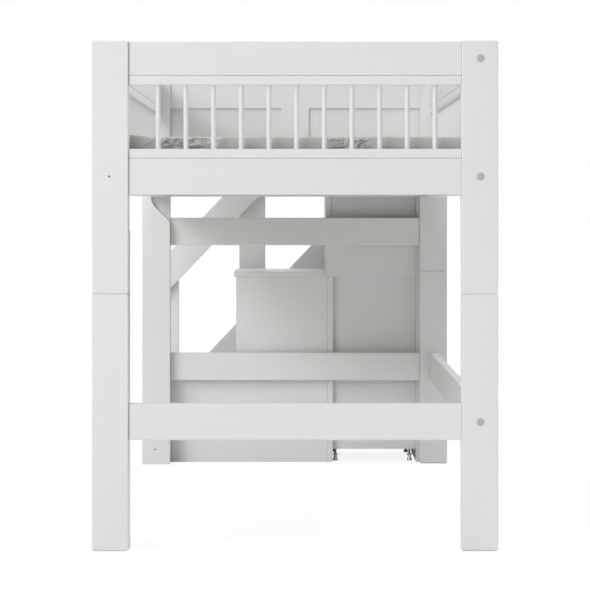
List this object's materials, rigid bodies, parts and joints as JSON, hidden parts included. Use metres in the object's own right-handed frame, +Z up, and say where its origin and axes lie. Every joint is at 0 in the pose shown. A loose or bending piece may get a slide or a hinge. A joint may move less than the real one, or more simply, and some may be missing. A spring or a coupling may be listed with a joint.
{
  "type": "mid sleeper bed with storage stairs",
  "caption": "Raised single bed in white wood with barred guards, a mattress, and storage stairs beyond its head end with sliding drawers, a cupboard, a handrail and a kick board.",
  "frame": {"origin": "middle of the footprint of the bed and its stairs, on the floor", "axes": "+Z up; +Y along the bed from the foot end to the stairs at the head end; +X across the bed to the side with the low rail"},
  "size_m": [1.02, 2.5178, 1.283],
  "materials": {
    "frame_white": "satin white lacquer",
    "panel_white": "satin white lacquered board",
    "raw_pine": "planed, unpainted",
    "ticking": "grey woven cover",
    "steel": "zinc plated"
  },
  "bodies": {
    "frame": {"cupboard_bottom": "panel_white", "foot_end_board": "frame_white", "foot_guard": "frame_white", "foot_left_brace": "frame_white", "foot_left_leg": "frame_white", "foot_left_post": "frame_white", "foot_low_rail": "frame_white", "foot_right_leg": "frame_white", "foot_right_post": "frame_white", "foot_top_board": "frame_white", "handrail": "frame_white", "head_end_board": "frame_white", "head_gable_frame": "frame_white", "head_left_brace": "frame_white", "head_left_leg": "frame_white", "head_left_panel": "panel_white", "head_left_post": "frame_white", "head_low_rail": "frame_white", "head_right_leg": "frame_white", "head_right_panel": "panel_white", "head_right_post": "frame_white", "head_stair_rail": "frame_white", "kick_board": "frame_white", "landing_side_panel": "panel_white", "left_guard": "frame_white", "left_side_board": "frame_white", "left_slat_batten": "frame_white", "left_top_board": "frame_white", "levelling_foot_far_left": "steel", "levelling_foot_far_right": "steel", "levelling_foot_near_left": "steel", "levelling_foot_near_right": "steel", "mattress": "ticking", "right_guard": "frame_white", "right_low_rail": "frame_white", "right_side_board": "frame_white", "right_slat_batten": "frame_white", "right_top_board": "frame_white", "slatted_base": "raw_pine", "stair_base_shelf": "panel_white", "stair_cross_board": "panel_white", "stair_lower_back": "panel_white", "stair_middle_wall": "panel_white", "stair_near_side": "panel_white", "stair_outer_side": "panel_white", "stair_right_wall": "panel_white", "stair_upper_back": "panel_white", "stair_upright_1": "frame_white", "stair_upright_2": "frame_white", "tread_1": "panel_white", "tread_2": "panel_white", "tread_3": "panel_white"},
    "drawer_1": {"drawer_1_front": "panel_white", "drawer_1_box": "panel_white"},
    "drawer_2": {"drawer_2_front": "panel_white", "drawer_2_box": "panel_white"},
    "drawer_3": {"drawer_3_front": "panel_white", "drawer_3_box": "panel_white"}
  },
  "joints": [
    {"name": "drawer_1_slide", "type": "slide", "parent": "frame", "child": "drawer_1", "axis": [-1, 0, 0], "range_m": [0, 0.4]},
    {"name": "drawer_2_slide", "type": "slide", "parent": "frame", "child": "drawer_2", "axis": [-1, 0, 0], "range_m": [0, 0.2]},
    {"name": "drawer_3_slide", "type": "slide", "parent": "frame", "child": "drawer_3", "axis": [-1, 0, 0], "range_m": [0, 0.2]}
  ]
}
